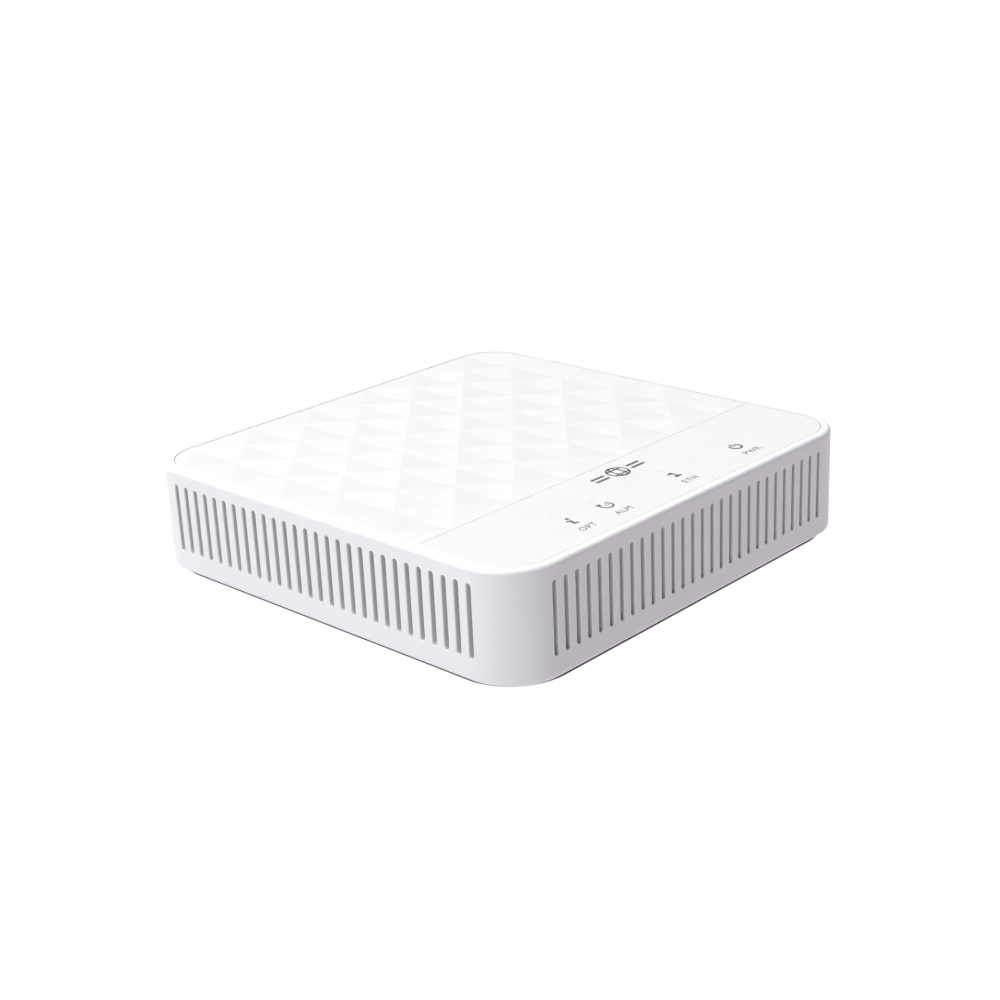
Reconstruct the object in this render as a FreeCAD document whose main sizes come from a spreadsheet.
"""Optical network terminal: a small desktop box that ends an optical fibre and feeds one Ethernet port.

Millimetres, +Z up. The origin is the middle of the footprint at the height the feet stand on. The
indicator strip is along the front edge (-Y) and the sockets are in a shallow bay in the rear wall (+Y).
"""
import FreeCAD, Part
import math
import os
import Sketcher
from FreeCAD import Vector, Rotation, Placement

DIMENSIONS = {
    # outer shell
    "body_width": 120.4,
    "body_depth": 119.5,
    "body_height": 25.4,
    "stand_gap": 1.0,            # from the standing surface up to the shell's lower edge
    "corner_radius": 12.8,
    "wall": 2.0,
    "top_edge_radius": 1.0,
    "bottom_edge_radius": 0.9,
    # top plate, its seam and the ledge that carries it
    "rim_inset": 2.3,
    "seam_gap": 0.12,
    "plate_recess": 0.05,
    "plate_thickness": 2.0,
    "plate_edge_radius": 0.2,
    "ledge_inset": 4.6,
    "ledge_thickness": 1.5,
    "ledge_corner_radius": 24.0,
    # facet field and indicator strip
    "groove_place": -31.1,
    "groove_width": 0.3,
    "groove_depth": 0.04,
    "facet_half_width": 9.54,
    "facet_half_length": 8.82,
    "facet_land": 0.4,
    "facet_depth": 0.5,
    "facet_columns": 12,         # half widths across the field
    "facet_rows": 10,            # half lengths along the field
    "window_count": 6,
    "window_pitch": 11.74,
    "window_radius": 1.05,
    "window_place": -43.7,
    # vent slots
    "vent_count": 28,
    "vent_pitch": 3.5,
    "vent_width": 1.25,
    "vent_length": 16.6,
    "vent_middle": 13.46,        # above the shell's lower edge
    "vent_mouth": 0.15,
    "front_vent_shift": -1.0,
    # screw bosses
    "boss_spacing_x": 101.4,
    "boss_spacing_y": 100.5,
    "boss_radius": 3.4,
    "boss_pilot_radius": 1.25,
    "boss_pilot_depth": 12.0,
    "cup_radius": 4.5,
    "cup_top": 4.0,
    # rear bay
    "bay_width": 92.0,
    "bay_depth": 3.0,
    "bay_bottom": 6.0,
    "bay_top": 22.0,
    "bay_corner_radius": 2.0,
    # base cover
    "base_gap": 0.15,
    "base_bottom": 0.8,
    "base_thickness": 2.0,
    "foot_spacing_x": 76.0,
    "foot_spacing_y": 96.0,
    "foot_radius": 5.0,
    "foot_recess": 0.8,
    "foot_recess_gap": 0.1,
    "foot_edge_radius": 0.5,
    "keyhole_spacing": 75.0,
    "keyhole_head_radius": 3.75,
    "keyhole_neck_width": 4.2,
    "keyhole_travel": 8.0,
    "base_vent_count": 13,
    "base_vent_pitch": 4.5,
    "base_vent_width": 2.0,
    "base_vent_length": 26.0,
    "base_vent_place": 27.0,
    "label_width": 46.0,
    "label_depth": 30.0,
    "label_place": -24.0,
    "label_recess": 0.3,
    "label_thickness": 0.12,
    # main board
    "board_width": 108.0,
    "board_front": -50.0,
    "board_rear": 54.4,
    "board_bottom": 6.7,
    "board_thickness": 1.6,
    "board_notch_x": 46.2,
    "board_notch_y": 45.8,
    "board_hole_radius": 1.6,
    "board_screw_spacing_x": 98.0,
    "board_screw_spacing_y": 72.0,
    "standoff_radius": 3.2,
    "standoff_pilot_radius": 1.15,
    # screws
    "screw_head_radius": 2.7,
    "screw_head_height": 1.6,
    "screw_shank_radius": 1.2,
    "housing_screw_length": 9.0,
    "board_screw_radius": 1.1,
    "board_screw_length": 5.0,
    "counterbore_radius": 3.0,
    "counterbore_depth": 2.0,
    "clearance_hole_radius": 1.6,
    # sockets along the rear edge, from the power side to the fibre side
    "dc_place": 39.0,
    "dc_width": 9.0,
    "dc_height": 11.0,
    "dc_length": 14.4,
    "dc_axis_height": 6.5,       # above the board
    "dc_bore_radius": 3.15,
    "dc_bore_depth": 10.5,
    "dc_pin_radius": 1.0,
    "dc_pin_length": 9.0,
    "power_place": 23.5,
    "power_height": 4.2,         # above the board
    "power_travel": 2.0,
    "power_cap_radius": 3.3,
    "power_cap_front": 59.3,
    "power_cap_back": 52.2,
    "power_hole_radius": 3.7,
    "lan_place": 2.0,
    "lan_width": 16.0,
    "lan_height": 13.4,
    "lan_length": 21.2,
    "lan_port_width": 11.9,
    "lan_port_height": 8.1,
    "lan_port_depth": 14.0,
    "lan_port_bottom": 3.2,      # above the board
    "lan_shield": 0.3,
    "reset_place": -14.5,
    "reset_height": 3.6,         # above the board
    "reset_hole_radius": 0.9,
    "reset_travel": 0.3,
    "fibre_place": -31.0,
    "fibre_width": 12.8,
    "fibre_height": 10.4,
    "fibre_length": 17.5,
    "fibre_axis_height": 5.8,    # above the board
    "fibre_port_width": 9.3,
    "fibre_port_height": 7.7,
    "fibre_port_depth": 15.0,
    "ferrule_bore_radius": 1.25,
    "sleeve_radius": 1.6,
    "sleeve_length": 7.0,
    "socket_face": 57.0,
    "socket_gap": 0.25,
}

doc = FreeCAD.newDocument("optical_network_terminal")
sheet = doc.addObject("Spreadsheet::Sheet", "size")
for row, (alias, number) in enumerate(DIMENSIONS.items(), start=1):
    sheet.set(f"A{row}", alias.replace("_", " "))
    sheet.set(f"B{row}", str(number))
    sheet.setAlias(f"B{row}", alias)
doc.recompute()

# levels and faces that several pieces share, as expressions on the sheet
SHELL_TOP = "(size.stand_gap + size.body_height)"
PLATE_TOP = f"({SHELL_TOP} - size.plate_recess)"
PLATE_BOTTOM = f"({PLATE_TOP} - size.plate_thickness)"
LEDGE_BOTTOM = f"({PLATE_BOTTOM} - size.ledge_thickness)"
BASE_TOP = "(size.base_bottom + size.base_thickness)"
BOARD_TOP = "(size.board_bottom + size.board_thickness)"
REAR_FACE = "(size.body_depth / 2)"
BAY_FACE = f"({REAR_FACE} - size.bay_depth)"
BAY_INNER = f"({BAY_FACE} - size.wall)"
SUBPARTS = []


def value(expression):
    """The number that an expression on the sheet stands for."""
    result = sheet.evalExpression(expression)
    return float(getattr(result, "Value", result))


def finished(label, thing):
    """Names a finished sub-part and puts it on the list of pieces to write."""
    thing.Label = label
    SUBPARTS.append(thing)
    return thing


# ---------------------------------------------------------------- sketches and body features


def new_body(name):
    return doc.addObject("PartDesign::Body", name)


def new_sketch(body, name, plane, height="0", across="0", along="0"):
    """A sketch on one of the body's own planes, moved by height along the plane's normal."""
    sketch = body.newObject("Sketcher::SketchObject", f"{body.Name}_{name}")
    origin_plane = next(f for f in body.Origin.OriginFeatures if f.Role == plane)
    sketch.AttachmentSupport = [(origin_plane, "")]
    sketch.MapMode = "FlatFace"
    sketch.setExpression("AttachmentOffset.Base.x", across)
    sketch.setExpression("AttachmentOffset.Base.y", along)
    sketch.setExpression("AttachmentOffset.Base.z", height)
    return sketch


def constrain(sketch, name, expression, *constraint):
    """Adds a driving dimension to a sketch and binds it to the sheet."""
    index = sketch.addConstraint(Sketcher.Constraint(*constraint, value(expression)))
    sketch.renameConstraint(index, name)
    sketch.setExpression(f"Constraints.{name}", expression)


def line(start, end):
    return Part.LineSegment(Vector(*start, 0), Vector(*end, 0))


def arc(centre, radius, start, end):
    circle = Part.Circle(Vector(*centre, 0), Vector(0, 0, 1), radius)
    return Part.ArcOfCircle(circle, math.radians(start), math.radians(end))


def chain_tangent(sketch, count):
    """Joins each of a closed run of curves to the next, smoothly."""
    for n in range(count):
        sketch.addConstraint(Sketcher.Constraint("Tangent", n, 2, (n + 1) % count, 1))


def rounded_rectangle(sketch, width, depth, radius):
    w, d, r = value(width) / 2, value(depth) / 2, value(radius)
    sketch.addGeometry([
        line((r - w, -d), (w - r, -d)), arc((w - r, r - d), r, -90, 0),
        line((w, r - d), (w, d - r)), arc((w - r, d - r), r, 0, 90),
        line((w - r, d), (r - w, d)), arc((r - w, d - r), r, 90, 180),
        line((-w, d - r), (-w, r - d)), arc((r - w, r - d), r, 180, 270),
    ])
    chain_tangent(sketch, 8)
    for straight, kind in ((0, "Horizontal"), (2, "Vertical"), (4, "Horizontal"), (6, "Vertical")):
        sketch.addConstraint(Sketcher.Constraint(kind, straight))
    for corner in (3, 5, 7):
        sketch.addConstraint(Sketcher.Constraint("Equal", 1, corner))
    sketch.addConstraint(Sketcher.Constraint("Symmetric", 1, 3, 5, 3, -1, 1))
    constrain(sketch, "radius", radius, "Radius", 1)
    constrain(sketch, "width", width, "DistanceX", 6, 1, 2, 1)
    constrain(sketch, "depth", depth, "DistanceY", 0, 1, 4, 1)


def upright_slot(sketch, width, length):
    r, half = value(width) / 2, (value(length) - value(width)) / 2
    sketch.addGeometry([
        line((r, -half), (r, half)), arc((0, half), r, 0, 180),
        line((-r, half), (-r, -half)), arc((0, -half), r, 180, 360),
    ])
    chain_tangent(sketch, 4)
    sketch.addConstraint(Sketcher.Constraint("Vertical", 0))
    sketch.addConstraint(Sketcher.Constraint("Equal", 1, 3))
    sketch.addConstraint(Sketcher.Constraint("Symmetric", 1, 3, 3, 3, -1, 1))
    constrain(sketch, "radius", f"({width}) / 2", "Radius", 1)
    constrain(sketch, "reach", f"({length}) - ({width})", "DistanceY", 3, 3, 1, 3)


def rectangle(sketch, width, depth):
    w, d = value(width) / 2, value(depth) / 2
    corners = [(-w, -d), (w, -d), (w, d), (-w, d)]
    sketch.addGeometry([line(corners[n], corners[(n + 1) % 4]) for n in range(4)])
    for n, kind in enumerate(("Horizontal", "Vertical", "Horizontal", "Vertical")):
        sketch.addConstraint(Sketcher.Constraint("Coincident", n, 2, (n + 1) % 4, 1))
        sketch.addConstraint(Sketcher.Constraint(kind, n))
    sketch.addConstraint(Sketcher.Constraint("Symmetric", 0, 1, 2, 1, -1, 1))
    constrain(sketch, "width", width, "DistanceX", 0, 1, 0, 2)
    constrain(sketch, "depth", depth, "DistanceY", 1, 1, 1, 2)


def circle(sketch, radius):
    sketch.addGeometry(Part.Circle(Vector(0, 0, 0), Vector(0, 0, 1), value(radius)))
    sketch.addConstraint(Sketcher.Constraint("Coincident", 0, 3, -1, 1))
    constrain(sketch, "radius", radius, "Radius", 0)


def four_circles(sketch, radius, spacing_x, spacing_y):
    """Four equal circles on the corners of a rectangle about the sketch's origin."""
    x, y, r = value(spacing_x) / 2, value(spacing_y) / 2, value(radius)
    places = [(-x, -y), (x, -y), (x, y), (-x, y)]
    sketch.addGeometry([Part.Circle(Vector(*p, 0), Vector(0, 0, 1), r) for p in places])
    for n in (1, 2, 3):
        sketch.addConstraint(Sketcher.Constraint("Equal", 0, n))
    for first, second, kind in ((0, 1, "Horizontal"), (1, 2, "Vertical"), (3, 2, "Horizontal")):
        sketch.addConstraint(Sketcher.Constraint(kind, first, 3, second, 3))
    sketch.addConstraint(Sketcher.Constraint("Symmetric", 0, 3, 2, 3, -1, 1))
    constrain(sketch, "radius", radius, "Radius", 0)
    constrain(sketch, "spacing_x", spacing_x, "DistanceX", 0, 3, 1, 3)
    constrain(sketch, "spacing_y", spacing_y, "DistanceY", 1, 3, 2, 3)


def add_feature(body, kind, sketch, length, backwards=False, taper=0):
    """A Pad grows along the sketch's normal and a Pocket cuts against it, unless backwards."""
    feature = body.newObject(f"PartDesign::{kind}", f"{sketch.Name}_{kind.lower()}")
    feature.Profile = sketch
    feature.Reversed = backwards
    feature.setExpression("Length", length)
    feature.TaperAngle = taper
    body.Tip = feature
    return feature


def pad(body, sketch, length, backwards=False):
    return add_feature(body, "Pad", sketch, length, backwards)


def pocket(body, sketch, length, backwards=False, taper=0):
    return add_feature(body, "Pocket", sketch, length, backwards, taper)


def round_edges(body, name, radius, chosen):
    """Rounds the edges of the body's last feature that chosen(edge) accepts."""
    doc.recompute()
    base = body.Tip
    edges = [f"Edge{n}" for n, edge in enumerate(base.Shape.Edges, start=1) if chosen(edge)]
    fillet = body.newObject("PartDesign::Fillet", f"{body.Name}_{name}")
    fillet.Base = (base, edges)
    fillet.setExpression("Radius", radius)
    body.Tip = fillet
    return fillet


def row_of(body, features, sketch, count, pitch, axis="H_Axis"):
    """Repeats features in a row along a sketch axis."""
    pattern = body.newObject("PartDesign::LinearPattern", f"{sketch.Name}_row")
    pattern.Originals = features
    pattern.Direction = (sketch, [axis])
    pattern.setExpression("Length", f"({pitch}) * ({count} - 1)")
    pattern.setExpression("Occurrences", count)
    body.Tip = pattern
    return pattern


def level(edge, height):
    """Whether an edge lies flat at a height."""
    box = edge.BoundBox
    return abs(box.ZMin - height) < 1e-4 and abs(box.ZMax - height) < 1e-4


# ---------------------------------------------------------------- primitives


def place(solid, x, y, z):
    for axis, distance in zip("xyz", (x, y, z)):
        solid.setExpression(f"Placement.Base.{axis}", f"{distance}")


def block(name, low, high):
    """A box from its lowest to its highest corner."""
    solid = doc.addObject("Part::Box", name)
    for side, start, end in zip(("Length", "Width", "Height"), low, high):
        solid.setExpression(side, f"({end}) - ({start})")
    place(solid, *low)
    return solid


def block_at(name, x, y, bottom, width, depth, height):
    """A box centred on x, y that stands on a level."""
    low = (f"({x}) - ({width}) / 2", f"({y}) - ({depth}) / 2", f"{bottom}")
    high = (f"({x}) + ({width}) / 2", f"({y}) + ({depth}) / 2", f"({bottom}) + ({height})")
    return block(name, low, high)


TURNS = {
    "+Z": Rotation(),
    "+Y": Rotation(Vector(1, 0, 0), -90),
    "-Y": Rotation(Vector(1, 0, 0), 90),
    "+X": Rotation(Vector(0, 1, 0), 90),
    "-X": Rotation(Vector(0, 1, 0), -90),
}


def rod(name, start, radius, length, along="+Z"):
    """A cylinder from the middle of its first end."""
    solid = doc.addObject("Part::Cylinder", name)
    solid.Placement = Placement(Vector(), TURNS[along])
    solid.setExpression("Radius", f"{radius}")
    solid.setExpression("Height", f"{length}")
    place(solid, *start)
    return solid


def fused(name, solids):
    joined = doc.addObject("Part::MultiFuse", name)
    joined.Shapes = solids
    return joined


def cut(name, base, tools):
    tool = tools[0] if len(tools) == 1 else fused(f"{name}_tools", tools)
    result = doc.addObject("Part::Cut", name)
    result.Base = base
    result.Tool = tool
    return result


def group(name, solids):
    """Identical pieces that stay separate solids of one sub-part."""
    together = doc.addObject("Part::Compound", name)
    together.Links = solids
    return together


def tube(name, start, outer, inner, length, along="+Z"):
    body = rod(f"{name}_outside", start, outer, length, along)
    bore = rod(f"{name}_bore", start, inner, length, along)
    return cut(name, body, [bore])


def window_places():
    """Where the indicators stand, from left to right, as expressions."""
    middle = (value("size.window_count") - 1) / 2
    return [f"{n - middle} * size.window_pitch" for n in range(int(value("size.window_count")))]


# ---------------------------------------------------------------- shell


def inset_outline(sketch, inset):
    """The shell's outline, moved inwards."""
    width = f"size.body_width - 2 * ({inset})"
    depth = f"size.body_depth - 2 * ({inset})"
    rounded_rectangle(sketch, width, depth, f"size.corner_radius - ({inset})")


def upper_housing():
    """Side walls with the vents, the rim round the top plate, its ledge, the bosses and the rear bay."""
    body = new_body("upper_housing_body")
    outline = new_sketch(body, "outline", "XY_Plane", "size.stand_gap")
    inset_outline(outline, "0")
    pad(body, outline, "size.body_height")
    top, bottom = value(SHELL_TOP), value("size.stand_gap")
    round_edges(body, "top_edge", "size.top_edge_radius", lambda e: level(e, top))
    round_edges(body, "bottom_edge", "size.bottom_edge_radius", lambda e: level(e, bottom))

    hollow = new_sketch(body, "hollow", "XY_Plane", "size.stand_gap")
    inset_outline(hollow, "size.wall")
    pocket(body, hollow, f"{LEDGE_BOTTOM} - size.stand_gap", backwards=True)
    opening = new_sketch(body, "opening", "XY_Plane", SHELL_TOP)
    width = "size.body_width - 2 * size.ledge_inset"
    depth = "size.body_depth - 2 * size.ledge_inset"
    rounded_rectangle(opening, width, depth, "size.ledge_corner_radius")
    pocket(body, opening, f"{SHELL_TOP} - {LEDGE_BOTTOM}")
    seat = new_sketch(body, "seat", "XY_Plane", SHELL_TOP)
    inset_outline(seat, "size.rim_inset")
    pocket(body, seat, f"{SHELL_TOP} - {PLATE_BOTTOM}")

    spacing = ("size.boss_spacing_x", "size.boss_spacing_y")
    bosses = new_sketch(body, "bosses", "XY_Plane", "size.cup_top")
    four_circles(bosses, "size.boss_radius", *spacing)
    pad(body, bosses, f"{LEDGE_BOTTOM} - size.cup_top")
    pilots = new_sketch(body, "pilots", "XY_Plane", "size.cup_top")
    four_circles(pilots, "size.boss_pilot_radius", *spacing)
    pocket(body, pilots, "size.boss_pilot_depth", backwards=True)

    rear_bay(body)
    # a sketch on the XZ plane faces -Y and one on the YZ plane faces +X
    vent_row(body, "front_vents", "XZ_Plane", "size.body_depth / 2", "size.front_vent_shift")
    vent_row(body, "left_vents", "YZ_Plane", "-size.body_width / 2", "0", backwards=True)
    vent_row(body, "right_vents", "YZ_Plane", "size.body_width / 2", "0")
    finished("upper_housing", body)


def rear_bay(body):
    """A shallow recess in the rear wall, so that nothing stands proud of the shell, and its cut-outs.

    A sketch on the XZ plane faces -Y, so its height is minus its place along Y.
    """
    bottom = f"({BASE_TOP} + size.base_gap)"
    height = f"({LEDGE_BOTTOM} - {bottom})"
    lining = new_sketch(body, "bay_lining", "XZ_Plane", f"-{BAY_INNER}", along=f"{bottom} + {height} / 2")
    rectangle(lining, "size.bay_width + 2 * size.wall", height)
    pad(body, lining, f"{REAR_FACE} - size.wall / 2 - {BAY_INNER}", backwards=True)
    recess = new_sketch(body, "bay_recess", "XZ_Plane", f"-{REAR_FACE}",
                        along="(size.bay_bottom + size.bay_top) / 2")
    rounded_rectangle(recess, "size.bay_width", "size.bay_top - size.bay_bottom", "size.bay_corner_radius")
    pocket(body, recess, "size.bay_depth", backwards=True)
    for name, x, middle, width, tall in (
        ("dc_cutout", "size.dc_place", "size.dc_height / 2", "size.dc_width", "size.dc_height"),
        ("lan_cutout", "size.lan_place", "size.lan_height / 2", "size.lan_width", "size.lan_height"),
        ("fibre_cutout", "size.fibre_place", "size.fibre_axis_height", "size.fibre_width",
         "size.fibre_height"),
    ):
        cutout = new_sketch(body, name, "XZ_Plane", f"-{BAY_FACE}", x, f"{BOARD_TOP} + {middle}")
        rectangle(cutout, f"{width} + 2 * size.socket_gap", f"{tall} + 2 * size.socket_gap")
        pocket(body, cutout, "size.wall", backwards=True)
    for name, x, middle, radius in (
        ("power_hole", "size.power_place", "size.power_height", "size.power_hole_radius"),
        ("reset_hole", "size.reset_place", "size.reset_height", "size.reset_hole_radius"),
    ):
        hole = new_sketch(body, name, "XZ_Plane", f"-{BAY_FACE}", x, f"{BOARD_TOP} + {middle}")
        circle(hole, radius)
        pocket(body, hole, "size.wall", backwards=True)


def vent_row(body, name, plane, height, shift, backwards=False):
    """A row of upright slots through one wall, each with a flared mouth."""
    past_curve = 0.5             # the outermost slots reach into the wall's rounded corners
    first = f"{shift} - size.vent_pitch * (size.vent_count - 1) / 2"
    middle = "size.stand_gap + size.vent_middle"
    slot = new_sketch(body, name, plane, height, first, middle)
    upright_slot(slot, "size.vent_width", "size.vent_length")
    through = pocket(body, slot, f"size.wall + {past_curve}", backwards)
    mouth = new_sketch(body, f"{name}_mouth", plane, height, first, middle)
    flare = "2 * size.vent_mouth"
    upright_slot(mouth, f"size.vent_width + {flare}", f"size.vent_length + {flare}")
    flared = pocket(body, mouth, "size.vent_mouth", backwards, taper=-45)
    row_of(body, [through, flared], slot, "size.vent_count", "size.vent_pitch")


def facet_cutter():
    """Upside-down pyramids on a diamond grid: each has its point below the middle of its diamond."""
    half_x, half_y = value("size.facet_half_width"), value("size.facet_half_length")
    land = value("size.facet_land") / 2
    shrink = 1 - land * math.hypot(half_x, half_y) / (half_x * half_y)
    columns, rows = int(value("size.facet_columns")), int(value("size.facet_rows"))
    top, depth = value(PLATE_TOP), value("size.facet_depth")
    # each pyramid starts a little above the plate, with its sides carried up at their own slope
    above = 0.1
    grown = shrink * (depth + above) / depth
    pyramids = []
    for column in range(1, columns):
        for row_number in range(1, rows):
            if (column + row_number) % 2 == 0:
                x = (column - columns / 2) * half_x
                y = value("size.groove_place") + row_number * half_y
                corners = [
                    Vector(x + grown * half_x * dx, y + grown * half_y * dy, top + above)
                    for dx, dy in ((1, 0), (0, 1), (-1, 0), (0, -1))
                ]
                pyramids.append(pyramid(corners, Vector(x, y, top - depth)))
    cutter = doc.addObject("Part::Feature", "facet_cutter")
    cutter.Shape = Part.makeCompound(pyramids)
    return cutter


def pyramid(corners, point):
    faces = [Part.Face(Part.makePolygon(corners + corners[:1]))]
    for n, corner in enumerate(corners):
        following = corners[(n + 1) % len(corners)]
        faces.append(Part.Face(Part.makePolygon([corner, following, point, corner])))
    solid = Part.makeSolid(Part.makeShell(faces))
    if solid.Volume < 0:
        solid.reverse()
    return solid


def top_plate():
    """The plate with the facet field behind the groove, the indicator windows and six snap hooks."""
    body = new_body("top_plate_body")
    outline = new_sketch(body, "outline", "XY_Plane", PLATE_BOTTOM)
    inset_outline(outline, "size.rim_inset + size.seam_gap")
    pad(body, outline, "size.plate_thickness")
    top = value(PLATE_TOP)
    round_edges(body, "edge", "size.plate_edge_radius", lambda e: level(e, top))
    groove = new_sketch(body, "groove", "XY_Plane", PLATE_TOP, along="size.groove_place")
    edge = "size.rim_inset + size.seam_gap + size.plate_edge_radius"
    rectangle(groove, f"size.body_width - 2 * ({edge})", "size.groove_width")
    pocket(body, groove, "size.groove_depth")
    window = new_sketch(body, "window", "XY_Plane", PLATE_TOP, window_places()[0], "size.window_place")
    circle(window, "size.window_radius")
    drilled = pocket(body, window, "size.plate_thickness")
    row_of(body, [drilled], window, "size.window_count", "size.window_pitch")
    faceted = cut("faceted_plate", body, [facet_cutter()])
    plate = fused("top_plate", [faceted] + snap_hooks())
    finished("top_plate", plate)


def snap_hooks():
    """Hooks that hang from the plate and catch under the ledge: two each on the left, right and front."""
    inner_x = "(size.body_width / 2 - size.ledge_inset)"
    inner_y = "(size.body_depth / 2 - size.ledge_inset)"
    leg_gap, leg, nose, nose_height, under = 0.3, 1.2, 0.9, 1.2, 0.2
    half_span, spacing = 3.0, 48.0
    top, catch = PLATE_BOTTOM, f"({LEDGE_BOTTOM} - {under})"
    bottom = f"({catch} - {nose_height})"
    hooks = []
    for end in (-1, 1):
        start, stop = f"{end * spacing / 2 - half_span}", f"{end * spacing / 2 + half_span}"
        for side in (-1, 1):
            name = f"hook_{side + 1}{end + 1}"
            outside = f"{side} * ({inner_x} - {leg_gap})"
            leg_from, leg_to = sorted((0, -side * leg))
            nose_from, nose_to = sorted((0, side * nose))
            hooks.append(block(name, (f"{outside} + {leg_from}", start, bottom),
                               (f"{outside} + {leg_to}", stop, top)))
            hooks.append(block(f"{name}_nose", (f"{outside} + {nose_from}", start, bottom),
                               (f"{outside} + {nose_to}", stop, catch)))
        name = f"hook_front_{end + 1}"
        outside = f"-({inner_y} - {leg_gap})"
        hooks.append(block(name, (start, outside, bottom), (stop, f"{outside} + {leg}", top)))
        hooks.append(block(f"{name}_nose", (start, f"{outside} - {nose}", bottom), (stop, outside, catch)))
    return hooks


def base_cover():
    """The floor: foot pockets, screw cups, board standoffs, keyholes, vents and a label recess."""
    body = new_body("base_cover_body")
    outline = new_sketch(body, "outline", "XY_Plane", "size.base_bottom")
    inset_outline(outline, "size.wall + size.base_gap")
    pad(body, outline, "size.base_thickness")
    screws = ("size.boss_spacing_x", "size.boss_spacing_y")
    posts = ("size.board_screw_spacing_x", "size.board_screw_spacing_y")
    feet = ("size.foot_spacing_x", "size.foot_spacing_y")
    cups = new_sketch(body, "cups", "XY_Plane", BASE_TOP)
    four_circles(cups, "size.cup_radius", *screws)
    pad(body, cups, f"size.cup_top - {BASE_TOP}")
    standoffs = new_sketch(body, "standoffs", "XY_Plane", BASE_TOP)
    four_circles(standoffs, "size.standoff_radius", *posts)
    pad(body, standoffs, f"size.board_bottom - {BASE_TOP}")
    for name, radius, spacing, start, depth in (
        ("counterbores", "size.counterbore_radius", screws, "size.base_bottom", "size.counterbore_depth"),
        ("screw_holes", "size.clearance_hole_radius", screws, "size.base_bottom", "size.cup_top"),
        ("foot_pockets", "size.foot_radius + size.foot_recess_gap", feet, "size.base_bottom",
         "size.foot_recess"),
        ("standoff_pilots", "size.standoff_pilot_radius", posts, f"{BASE_TOP} - 0.8",
         f"size.board_bottom - {BASE_TOP} + 0.8"),
    ):
        holes = new_sketch(body, name, "XY_Plane", start)
        four_circles(holes, radius, *spacing)
        pocket(body, holes, depth, backwards=True)
    for side, sign in (("left", -1), ("right", 1)):
        x = f"{sign} * size.keyhole_spacing / 2"
        head = new_sketch(body, f"keyhole_{side}_head", "XY_Plane", "size.base_bottom", x)
        circle(head, "size.keyhole_head_radius")
        pocket(body, head, "size.base_thickness", backwards=True)
        neck = new_sketch(body, f"keyhole_{side}_neck", "XY_Plane", "size.base_bottom", x,
                          "size.keyhole_travel / 2")
        upright_slot(neck, "size.keyhole_neck_width", "size.keyhole_travel + size.keyhole_neck_width")
        pocket(body, neck, "size.base_thickness", backwards=True)
    vent = new_sketch(body, "vents", "XY_Plane", "size.base_bottom",
                      "-size.base_vent_pitch * (size.base_vent_count - 1) / 2", "size.base_vent_place")
    upright_slot(vent, "size.base_vent_width", "size.base_vent_length")
    slot = pocket(body, vent, "size.base_thickness", backwards=True)
    row_of(body, [slot], vent, "size.base_vent_count", "size.base_vent_pitch")
    recess = new_sketch(body, "label_recess", "XY_Plane", "size.base_bottom", along="size.label_place")
    rounded_rectangle(recess, "size.label_width", "size.label_depth", "1.5")
    pocket(body, recess, "size.label_recess", backwards=True)
    finished("base_cover", body)


def rating_label():
    body = new_body("rating_label_body")
    bottom = "size.base_bottom + size.label_recess - size.label_thickness"
    outline = new_sketch(body, "outline", "XY_Plane", bottom, along="size.label_place")
    rounded_rectangle(outline, "size.label_width - 1", "size.label_depth - 1", "1.2")
    pad(body, outline, "size.label_thickness")
    finished("rating_label", body)


def foot(name, side, end):
    """One rubber foot, seated in its pocket and standing on Z = 0."""
    body = new_body(f"{name}_body")
    outline = new_sketch(body, "outline", "XY_Plane", "0", f"{side} * size.foot_spacing_x / 2",
                         f"{end} * size.foot_spacing_y / 2")
    circle(outline, "size.foot_radius")
    pad(body, outline, "size.base_bottom + size.foot_recess")
    round_edges(body, "edge", "size.foot_edge_radius", lambda e: level(e, 0))
    finished(name, body)


def screw(name, x, y, head_bottom, radius, length, heads_up):
    """A pan-head cross-recess screw: the flat of its head is on head_bottom and its shank runs on."""
    head_height = "size.screw_head_height"
    head_start = head_bottom if heads_up else f"({head_bottom} - {head_height})"
    shank_start = f"({head_bottom} - {length})" if heads_up else head_bottom
    head = rod(f"{name}_head", (x, y, head_start), "size.screw_head_radius", head_height)
    shank = rod(f"{name}_shank", (x, y, shank_start), radius, length)
    recess_depth, narrow, wide = 0.9, 0.7, 3.0
    recess_start = f"({head_bottom} + {head_height} - {recess_depth})" if heads_up else head_start
    recesses = [
        block_at(f"{name}_recess_{n}", x, y, recess_start, across, along, recess_depth)
        for n, (across, along) in enumerate(((narrow, wide), (wide, narrow)))
    ]
    return cut(name, fused(f"{name}_blank", [head, shank]), recesses)


def four_screws(label, spacing_x, spacing_y, head_bottom, radius, length, heads_up):
    screws = [
        screw(f"{label}_{side}{end}".replace("-", "m"), f"{side} * {spacing_x} / 2",
              f"{end} * {spacing_y} / 2", head_bottom, radius, length, heads_up)
        for side in (-1, 1) for end in (-1, 1)
    ]
    finished(label, group(label, screws))


# ---------------------------------------------------------------- board and the parts on it


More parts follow.
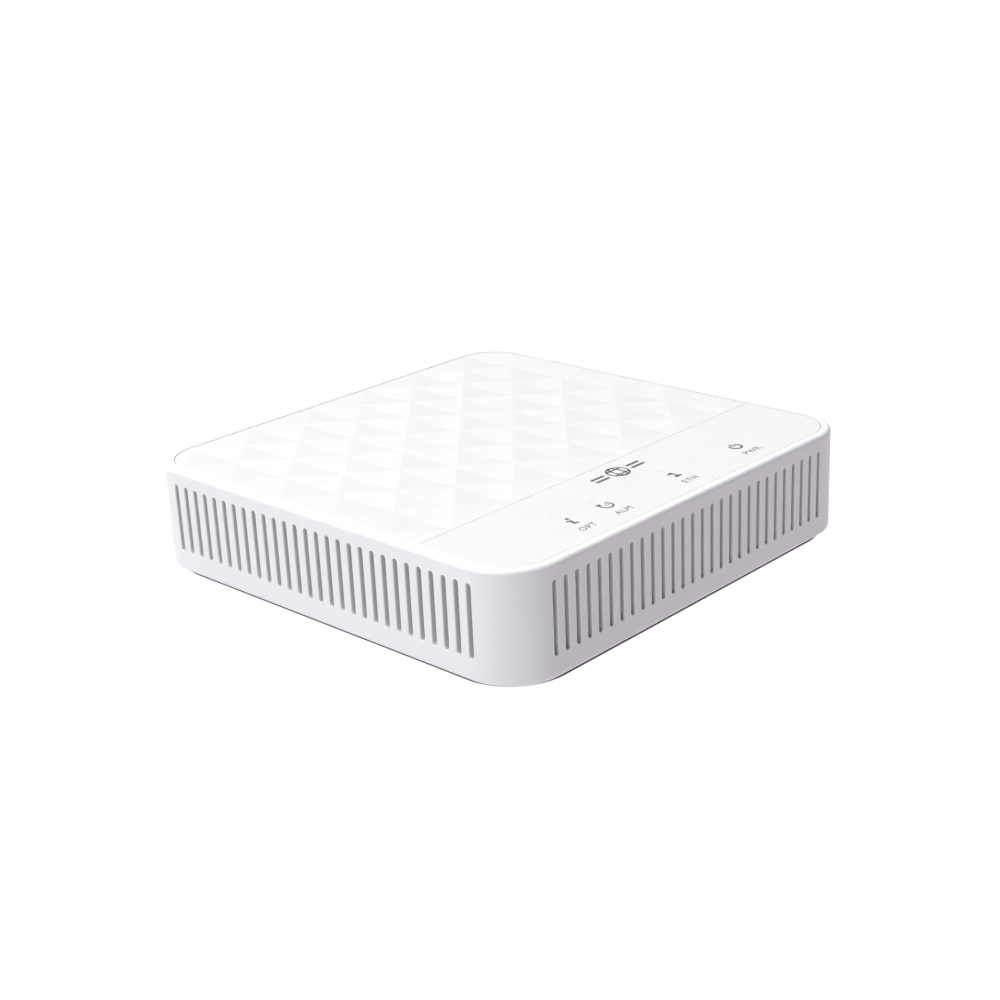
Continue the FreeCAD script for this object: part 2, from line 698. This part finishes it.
def main_board():
    """The circuit board: notched round the bosses and drilled for its screws and the heat sink's pins."""
    body = new_body("main_board_body")
    outline = new_sketch(body, "outline", "XY_Plane", "size.board_bottom",
                         along="(size.board_front + size.board_rear) / 2")
    rectangle(outline, "size.board_width", "size.board_rear - size.board_front")
    pad(body, outline, "size.board_thickness")
    holes = new_sketch(body, "screw_holes", "XY_Plane", "size.board_bottom")
    four_circles(holes, "size.board_hole_radius", "size.board_screw_spacing_x", "size.board_screw_spacing_y")
    pocket(body, holes, "size.board_thickness", backwards=True)
    notches = []
    for side in (-1, 1):
        for end in (-1, 1):
            x = f"{side} * (size.board_notch_x + size.board_width) / 2"
            y = f"{end} * (size.board_notch_y + size.body_depth) / 2"
            name = f"board_notch_{side + 1}{end + 1}"
            notches.append(block_at(name, x, y, "size.board_bottom",
                                    "size.board_width - size.board_notch_x",
                                    "size.body_depth - size.board_notch_y", "size.board_thickness"))
    for n, (x, y) in enumerate(PIN_PLACES):
        start = (x, y, "size.board_bottom")
        notches.append(rod(f"sink_pin_hole_{n}", start, PIN_HOLE_RADIUS, "size.board_thickness"))
    finished("main_board", cut("main_board", body, notches))


def on_board(label, x, y, width, depth, height, raised="0"):
    """A plain moulded package soldered to the board."""
    return finished(label, block_at(label, x, y, f"({BOARD_TOP} + {raised})", width, depth, height))


def leaded_chip(name, x, y, width, depth, height, pins, pitch):
    """A package with a row of flat legs along each of its two long sides."""
    gap, foot_length, foot_width, foot_height = 0.1, 1.0, 0.4, 0.2
    shell = block_at(f"{name}_package", x, y, f"({BOARD_TOP} + {gap})", width, depth, height)
    legs = []
    for side in (-1, 1):
        for n in range(pins):
            leg_x = x + (n - (pins - 1) / 2) * pitch
            leg_y = y + side * (depth + foot_length) / 2
            legs.append(block_at(f"{name}_leg_{side + 1}{n}", leg_x, leg_y, BOARD_TOP, foot_width,
                                 foot_length, foot_height))
            legs.append(block_at(f"{name}_knee_{side + 1}{n}", leg_x, y + side * (depth + 0.3) / 2,
                                 BOARD_TOP, foot_width, 0.3, height / 2))
    return fused(name, [shell] + legs)


SINK_PLACE = (2.0, 0.0)
SINK_SIDE = 28.0
PIN_OFFSET = 11.5
PIN_PLACES = [(SINK_PLACE[0] + s * PIN_OFFSET, SINK_PLACE[1] + s * PIN_OFFSET) for s in (-1, 1)]
PIN_HOLE_RADIUS = 1.5


def processor_stack():
    """The processor, its thermal pad, and a finned heat sink held by two push pins."""
    x, y = SINK_PLACE
    chip_side, chip_height, pad_height = 14.0, 1.2, 0.5
    base, fins, fin_width, fin_height = 1.6, 8, 1.1, 6.0
    on_board("processor", x, y, chip_side, chip_side, chip_height)
    on_board("thermal_pad", x, y, chip_side, chip_side, pad_height, raised=f"{chip_height}")
    bottom = f"({BOARD_TOP} + {chip_height + pad_height})"
    slab = block_at("sink_base", x, y, bottom, SINK_SIDE, SINK_SIDE, base)
    step = (SINK_SIDE - fin_width) / (fins - 1)
    blades = [
        block_at(f"sink_fin_{n}", x - SINK_SIDE / 2 + fin_width / 2 + n * step, y,
                 f"{bottom} + {base}", fin_width, SINK_SIDE, fin_height)
        for n in range(fins)
    ]
    clear, corner = 1.4, 5.6
    cuts = []
    pins = []
    for n, (pin_x, pin_y) in enumerate(PIN_PLACES):
        cuts.append(rod(f"sink_hole_{n}", (pin_x, pin_y, bottom), clear, base))
        cuts.append(block_at(f"sink_clearing_{n}", pin_x, pin_y, f"{bottom} + {base}", corner, corner,
                             fin_height))
        shank_start = f"({BOARD_TOP} - size.board_thickness - 1)"
        shank = rod(f"push_pin_shank_{n}", (pin_x, pin_y, shank_start), 1.2,
                    f"{bottom} + {base} - {shank_start}")
        head = rod(f"push_pin_head_{n}", (pin_x, pin_y, f"{bottom} + {base}"), 2.3, 1.2)
        pins.append(fused(f"push_pin_{n}", [shank, head]))
    finished("heat_sink", cut("heat_sink", fused("sink_blank", [slab] + blades), cuts))
    finished("heat_sink_pins", group("heat_sink_pins", pins))


def round_can(name, x, y, radius, height, raised=0):
    can = rod(f"{name}_can", (x, y, f"({BOARD_TOP} + {raised})"), radius, height)
    rounded = doc.addObject("Part::Fillet", name)
    rounded.Base = can
    doc.recompute()
    top = value(BOARD_TOP) + raised + height
    rounded.Edges = [(n, 0.5, 0.5) for n, e in enumerate(can.Shape.Edges, start=1) if level(e, top)]
    return rounded


def board_parts():
    """The chips and passive parts that the board carries besides the processor and the sockets."""
    on_board("memory_chip", 2.0, -25.0, 13.5, 9.0, 1.1)
    finished("flash_chip", leaded_chip("flash_chip", -23.0, -6.0, 8.0, 6.0, 1.6, 4, 1.27))
    finished("lan_transformer", leaded_chip("lan_transformer", 2.0, 27.0, 12.7, 7.0, 5.6, 8, 1.27))
    on_board("laser_driver_chip", -31.0, 8.0, 5.0, 5.0, 0.9)
    converters = [
        leaded_chip(f"power_converter_{n}", x, y, 5.0, 4.0, 1.5, 4, 1.27)
        for n, (x, y) in enumerate(((26.0, 12.0), (26.0, -10.0)))
    ]
    finished("power_converter_chips", group("power_converter_chips", converters))
    inductors = [
        round_can(f"power_inductor_{n}", x, y, 3.4, 4.2)
        for n, (x, y) in enumerate(((36.0, 8.0), (36.0, -10.0)))
    ]
    finished("power_inductors", group("power_inductors", inductors))
    cans = [
        round_can(f"electrolytic_{n}", x, y, radius, tall)
        for n, (x, y, radius, tall) in enumerate(
            ((39.0, 32.0, 4.0, 12.0), (39.0, 21.0, 4.0, 12.0), (36.0, -22.0, 3.15, 9.0)))
    ]
    finished("electrolytic_capacitors", group("electrolytic_capacitors", cans))
    crystal = block_at("crystal_blank", -22.0, -20.0, BOARD_TOP, 5.0, 3.2, 1.2)
    finished("crystal", crystal)
    chips = [
        block_at(f"ceramic_capacitor_{row_number}_{n}", x + n * 2.6, y, BOARD_TOP, 1.6, 0.8, 0.8)
        for row_number, (x, y) in enumerate(((-7.0, -16.5), (-7.0, 17.5), (20.0, 2.0), (-24.0, 2.0)))
        for n in range(8 if row_number < 2 else 4)
    ]
    finished("ceramic_capacitors", group("ceramic_capacitors", chips))


def indicators():
    """Lamps under the four labelled windows, the black block round them and the clear light guide."""
    bar_bottom, bar_height, bar_depth, side = 19.4, 1.5, 3.0, 4.0
    cell, guide_radius, guide_start, lamp_height = 1.6, 1.02, 10.2, 0.9
    ends = f"(size.window_pitch * (size.window_count - 1) / 2 + {side})"
    y = "size.window_place"
    low = (f"-{ends}", f"{y} - {side}", BOARD_TOP)
    frame = block("light_blocker_blank", low, (ends, f"{y} + {side}", f"{bar_bottom}"))
    cells, guides, lamps = [], [], []
    bar_low = (f"-{ends} + 2", f"{y} - {bar_depth / 2}", f"{bar_bottom}")
    bar_high = (f"{ends} - 2", f"{y} + {bar_depth / 2}", f"{bar_bottom + bar_height}")
    guides.append(block("light_guide_bar", bar_low, bar_high))
    for n, x in enumerate(window_places()):
        cells.append(rod(f"light_cell_{n}", (x, y, BOARD_TOP), cell, f"{bar_bottom} - {BOARD_TOP}"))
        guides.append(rod(f"light_guide_rod_{n}", (x, y, guide_start), guide_radius,
                          f"{PLATE_TOP} - {guide_start}"))
        if n in (0, 1, 3, 5):
            lamps.append(block_at(f"status_lamp_{n}", x, y, BOARD_TOP, 1.6, 1.2, lamp_height))
    finished("light_blocker", cut("light_blocker", frame, cells))
    finished("light_guide", fused("light_guide", guides))
    finished("status_lamps", group("status_lamps", lamps))


# ---------------------------------------------------------------- sockets and switches


def dc_socket():
    """The power inlet: a moulded body with a round bore, its centre pin and its side spring."""
    x, face = "size.dc_place", "size.socket_face"
    back = f"({face} - size.dc_length)"
    axis = f"({BOARD_TOP} + size.dc_axis_height)"
    low = (f"{x} - size.dc_width / 2", back, BOARD_TOP)
    high = (f"{x} + size.dc_width / 2", face, f"{BOARD_TOP} + size.dc_height")
    bore = rod("dc_bore", (x, f"{face} - size.dc_bore_depth", axis), "size.dc_bore_radius",
               "size.dc_bore_depth", "+Y")
    slot_width, slot_depth, leaf, leaf_width = 2.4, 0.8, 0.3, 2.0
    deep = f"({face} - size.dc_bore_depth)"
    floor = f"({axis} - size.dc_bore_radius)"
    slot_floor, leaf_top = f"({floor} - {slot_depth})", f"({floor} - {slot_depth - leaf})"
    slot = block("dc_slot", (f"{x} - {slot_width / 2}", deep, slot_floor),
                 (f"{x} + {slot_width / 2}", f"{face} - 1.5", f"{axis} - 2"))
    finished("dc_socket_body", cut("dc_socket_body", block("dc_blank", low, high), [bore, slot]))
    pin = rod("dc_pin_shaft", (x, deep, axis), "size.dc_pin_radius", "size.dc_pin_length", "+Y")
    finished("dc_centre_pin", pin)
    strip = block("dc_leaf", (f"{x} - {leaf_width / 2}", deep, slot_floor),
                  (f"{x} + {leaf_width / 2}", f"{face} - 2.5", leaf_top))
    rise = block("dc_leaf_rise", (f"{x} - {leaf_width / 2}", f"{face} - 4.4", leaf_top),
                 (f"{x} + {leaf_width / 2}", f"{face} - 4.1", f"{floor} + 0.2"))
    finished("dc_side_spring", fused("dc_side_spring", [strip, rise]))


def lan_socket():
    """The Ethernet jack: a sheet-metal shield over a moulded insert with eight sprung contacts."""
    x, face, skin = "size.lan_place", "size.socket_face", "size.lan_shield"
    back = f"({face} - size.lan_length)"
    left, right = f"({x} - size.lan_width / 2)", f"({x} + size.lan_width / 2)"
    top = f"({BOARD_TOP} + size.lan_height)"
    outer = block("lan_shield_blank", (left, back, BOARD_TOP), (right, face, top))
    inside = block("lan_shield_inside", (f"{left} + {skin}", f"{back} + {skin}", BOARD_TOP),
                   (f"{right} - {skin}", f"{face} - {skin}", f"{top} - {skin}"))
    port_low = f"({BOARD_TOP} + size.lan_port_bottom)"
    port_top = f"({port_low} + size.lan_port_height)"
    half = "size.lan_port_width / 2"
    window = block("lan_shield_window", (f"{x} - {half}", f"{face} - 1", port_low),
                   (f"{x} + {half}", f"{face} + 1", port_top))
    latch_half, latch_drop = 3.1, 1.9
    notch = block("lan_shield_notch",
                  (f"{x} - {latch_half}", f"{face} - 1", f"{port_low} - {latch_drop}"),
                  (f"{x} + {latch_half}", f"{face} + 1", port_low))
    finished("lan_socket_shield", cut("lan_socket_shield", outer, [inside, window, notch]))

    insert = block("lan_insert_blank", (f"{left} + {skin}", f"{back} + {skin}", BOARD_TOP),
                   (f"{right} - {skin}", f"{face} - {skin}", f"{top} - {skin}"))
    deep = f"({face} - size.lan_port_depth)"
    cavity = block("lan_cavity", (f"{x} - {half}", deep, port_low), (f"{x} + {half}", face, port_top))
    channel = block("lan_channel", (f"{x} - {latch_half}", deep, f"{port_low} - {latch_drop}"),
                    (f"{x} + {latch_half}", face, port_low))
    contact_count, contact_pitch, contact_width, wire = 8, 1.02, 0.5, 0.3
    reach, spring_length, spring_slope = 10.0, 8.0, 22.0
    finished("lan_socket_housing", cut("lan_socket_housing", insert, [cavity, channel]))
    contacts = []
    for n in range(contact_count):
        at = f"({x} + {(n - (contact_count - 1) / 2) * contact_pitch})"
        low, high = f"{at} - {contact_width / 2}", f"{at} + {contact_width / 2}"
        root = block(f"lan_contact_root_{n}", (low, deep, f"{port_top} - {wire}"),
                     (high, f"{deep} + {reach}", port_top))
        spring = block(f"lan_contact_spring_{n}", (0, 0, 0), (contact_width, spring_length, wire))
        spring.Placement = Placement(Vector(), Rotation(Vector(1, 0, 0), spring_slope))
        back_step = f"{spring_length} * cos({spring_slope} deg)"
        down_step = f"{spring_length} * sin({spring_slope} deg)"
        place(spring, low, f"{deep} + {reach} - {back_step}", f"{port_top} - {wire} - {down_step}")
        contacts.append(fused(f"lan_contact_{n}", [root, spring]))
    finished("lan_socket_contacts", group("lan_socket_contacts", contacts))


def fibre_socket():
    """The optical receptacle: keyed housing, latch hooks, sleeve holder and split alignment sleeve."""
    x, face = "size.fibre_place", "size.socket_face"
    axis = f"({BOARD_TOP} + size.fibre_axis_height)"
    back = f"({face} - size.fibre_length)"
    deep = f"({face} - size.fibre_port_depth)"
    half_width, half_height = "size.fibre_width / 2", "size.fibre_height / 2"
    port_half_width, port_half_height = "size.fibre_port_width / 2", "size.fibre_port_height / 2"
    outer = block("fibre_blank", (f"{x} - {half_width}", back, f"{axis} - {half_height}"),
                  (f"{x} + {half_width}", face, f"{axis} + {half_height}"))
    cavity = block("fibre_cavity", (f"{x} - {port_half_width}", deep, f"{axis} - {port_half_height}"),
                   (f"{x} + {port_half_width}", face, f"{axis} + {port_half_height}"))
    key_half, key_height = 1.4, 0.9
    key = block("fibre_key", (f"{x} - {key_half}", deep, axis),
                (f"{x} + {key_half}", face, f"{axis} + {port_half_height} + {key_height}"))
    holder_radius, holder_bore = 2.4, 1.62
    through = rod("fibre_through", (x, back, axis), holder_bore, "size.fibre_length", "+Y")
    finished("fibre_socket_housing", cut("fibre_socket_housing", outer, [cavity, key, through]))
    holder = tube("sleeve_holder", (x, deep, axis), holder_radius, holder_bore, "size.sleeve_length", "+Y")
    finished("sleeve_holder", holder)
    fibre_latch(x, deep, axis, holder_radius)
    sleeve = tube("sleeve_tube", (x, deep, axis), "size.sleeve_radius", "size.ferrule_bore_radius",
                  "size.sleeve_length", "+Y")
    slit_half = 0.15
    slit = block("sleeve_slit", (f"{x} - {slit_half}", deep, axis),
                 (f"{x} + {slit_half}", f"{deep} + size.sleeve_length", f"{axis} + 2 * size.sleeve_radius"))
    finished("alignment_sleeve", cut("alignment_sleeve", sleeve, [slit]))
    stub = rod("fibre_stub_rod", (x, back, axis), "size.ferrule_bore_radius", f"{deep} - {back}", "+Y")
    finished("fibre_stub", stub)
    transceiver(x, back, axis)


def fibre_latch(x, deep, axis, eye_radius):
    """The clip round the sleeve holder, with a hooked arm on each side that holds the plug."""
    arm, arm_length, arm_half, nose, nose_length = 0.6, 7.5, 2.0, 0.5, 1.0
    plate, plate_half, side_gap = 0.8, 3.4, 0.05
    reach = f"(size.fibre_port_width / 2 - {side_gap})"
    low, high = f"{axis} - {arm_half}", f"{axis} + {arm_half}"
    pieces = [block("fibre_latch_plate", (f"{x} - {reach}", deep, f"{axis} - {plate_half}"),
                    (f"{x} + {reach}", f"{deep} + {plate}", f"{axis} + {plate_half}"))]
    for side in (-1, 1):
        edge = f"({x} + {side} * {reach})"
        arm_from, arm_to = sorted((0, -side * arm))
        nose_from, nose_to = sorted((-side * arm, -side * (arm + nose)))
        end = f"{deep} + {arm_length}"
        pieces.append(block(f"fibre_arm_{side + 1}", (f"{edge} + {arm_from}", deep, low),
                            (f"{edge} + {arm_to}", end, high)))
        pieces.append(block(f"fibre_nose_{side + 1}",
                            (f"{edge} + {nose_from}", f"{end} - {nose_length}", low),
                            (f"{edge} + {nose_to}", end, high)))
    eye = rod("fibre_latch_eye", (x, deep, axis), eye_radius, plate, "+Y")
    finished("fibre_socket_latch", cut("fibre_socket_latch", fused("fibre_latch_blank", pieces), [eye]))


def transceiver(x, front, axis):
    """The optical block behind the receptacle, with its laser and receiver cans and a metal cover."""
    block_radius, block_length, joint_gap = 3.2, 12.0, 0.1
    finished("optical_block", rod("optical_block_body", (x, f"{front} - {block_length}", axis),
                                  block_radius, block_length, "+Y"))
    pinned_can("laser_can", (x, f"({front} - {block_length})", axis), "-Y")
    middle = f"({front} - {block_length / 2})"
    pinned_can("receiver_can", (f"{x} - {block_radius + joint_gap}", middle, axis), "-X")
    skin, left, right, rear, height, front_gap = 0.4, 12.5, 7.5, 26.0, 12.0, 0.3
    low = (f"{x} - {left}", f"{front} - {rear}", BOARD_TOP)
    high = (f"{x} + {right}", f"{front} - {front_gap}", f"{BOARD_TOP} + {height}")
    cover = block("optics_cover_blank", low, high)
    inside = block("optics_cover_inside", (f"{low[0]} + {skin}", f"{low[1]} + {skin}", BOARD_TOP),
                   (f"{high[0]} - {skin}", high[1], f"{high[2]} - {skin}"))
    finished("optics_cover", cut("optics_cover", cover, [inside]))


def pinned_can(label, start, way):
    """A small metal can with three pins, pointing away from the optical block."""
    radius, length = 2.8, 5.0
    pin_radius, pin_length, pin_circle, pin_count = 0.22, 2.5, 1.3, 3
    x, y, z = start
    pieces = [rod(f"{label}_cap", start, radius, length, way)]
    for n in range(pin_count):
        turn = 2 * math.pi * n / pin_count
        off, up = pin_circle * math.cos(turn), pin_circle * math.sin(turn)
        if way == "-Y":
            pin_start = (f"{x} + {off}", f"{y} - {length}", f"{z} + {up}")
        else:
            pin_start = (f"{x} - {length}", f"{y} + {off}", f"{z} + {up}")
        pieces.append(rod(f"{label}_pin_{n}", pin_start, pin_radius, pin_length, way))
    finished(label, fused(label, pieces))


def power_switch():
    """The switch on the board, its plunger and the round cap that stands in the rear wall."""
    x, axis = "size.power_place", f"({BOARD_TOP} + size.power_height)"
    front, length, half = 49.8, 12.0, 4.2
    stem_half, bore_half, bore_depth = 1.7, 1.8, 9.3
    shell = block("switch_blank", (f"{x} - {half}", f"{front - length}", BOARD_TOP),
                  (f"{x} + {half}", f"{front}", f"{BOARD_TOP} + {2 * half}"))
    bore = block("switch_bore", (f"{x} - {bore_half}", f"{front - bore_depth}", f"{axis} - {bore_half}"),
                 (f"{x} + {bore_half}", f"{front}", f"{axis} + {bore_half}"))
    finished("power_switch_body", cut("power_switch_body", shell, [bore]))
    stem_start, socket_depth = 43.5, 2.8
    cap_back = "size.power_cap_back"
    stem_end = f"{cap_back} + {socket_depth}"
    stem_low, stem_high = f"{axis} - {stem_half}", f"{axis} + {stem_half}"
    stem = block("switch_stem", (f"{x} - {stem_half}", f"{stem_start}", stem_low),
                 (f"{x} + {stem_half}", stem_end, stem_high))
    finished("power_switch_plunger", stem)
    cap_length = f"size.power_cap_front - {cap_back}"
    cap = rod("power_cap_blank", (x, cap_back, axis), "size.power_cap_radius", cap_length, "+Y")
    collar_radius, collar_length, face_rounding = 3.95, 1.4, 0.5
    collar = rod("power_cap_collar", (x, cap_back, axis), collar_radius, collar_length, "+Y")
    socket = block("power_cap_socket", (f"{x} - {stem_half}", cap_back, stem_low),
                   (f"{x} + {stem_half}", stem_end, stem_high))
    blank = cut("power_cap_hollowed", fused("power_cap_whole", [cap, collar]), [socket])
    rounded = doc.addObject("Part::Fillet", "power_button")
    rounded.Base = blank
    doc.recompute()
    face = value("size.power_cap_front")
    rounded.Edges = [
        (n, face_rounding, face_rounding) for n, e in enumerate(blank.Shape.Edges, start=1)
        if abs(e.BoundBox.YMin - face) < 1e-4
    ]
    finished("power_button", rounded)


def reset_switch():
    """A small switch behind the pinhole, pressed with a pin."""
    x, axis = "size.reset_place", f"({BOARD_TOP} + size.reset_height)"
    front, depth, half, height = 52.2, 3.6, 3.1, 6.6
    plunger_radius, bore_radius, bore_depth = 1.7, 1.8, 1.8
    shell = block("reset_blank", (f"{x} - {half}", f"{front - depth}", BOARD_TOP),
                  (f"{x} + {half}", f"{front}", f"{BOARD_TOP} + {height}"))
    bore = rod("reset_bore", (x, f"{front - bore_depth}", axis), bore_radius, bore_depth, "+Y")
    finished("reset_switch_body", cut("reset_switch_body", shell, [bore]))
    travel_room, end = 0.4, 53.8
    start = front - bore_depth + travel_room
    plunger = rod("reset_plunger_rod", (x, f"{start}", axis), plunger_radius, end - start, "+Y")
    finished("reset_plunger", plunger)


# ---------------------------------------------------------------- build, check and write


def build():
    upper_housing()
    top_plate()
    base_cover()
    rating_label()
    for name, side, end in (
        ("foot_front_left", -1, -1), ("foot_front_right", 1, -1),
        ("foot_rear_left", -1, 1), ("foot_rear_right", 1, 1),
    ):
        foot(name, side, end)
    four_screws("housing_screws", "size.boss_spacing_x", "size.boss_spacing_y",
                "(size.base_bottom + size.counterbore_depth)", "size.screw_shank_radius",
                "size.housing_screw_length", heads_up=False)
    main_board()
    four_screws("board_screws", "size.board_screw_spacing_x", "size.board_screw_spacing_y",
                BOARD_TOP, "size.board_screw_radius", "size.board_screw_length", heads_up=True)
    processor_stack()
    board_parts()
    indicators()
    dc_socket()
    lan_socket()
    fibre_socket()
    power_switch()
    reset_switch()


def check():
    doc.recompute()
    for thing in doc.Objects:
        bad = {"Invalid", "Error"} & set(thing.State)
        if bad:
            raise SystemExit(f"{thing.Label} is {', '.join(sorted(bad))}")
    for thing in SUBPARTS:
        if thing.Shape.isNull() or not thing.Shape.isValid() or not thing.Shape.Solids:
            raise SystemExit(f"{thing.Label} has no sound shape")


def write():
    os.makedirs("parts", exist_ok=True)
    for thing in SUBPARTS:
        thing.Shape.exportStep(f"parts/{thing.Label}.step")
        print(f"{thing.Label}: {len(thing.Shape.Solids)} solid(s), {thing.Shape.Volume / 1000:.3f} cm3")


build()
check()
write()
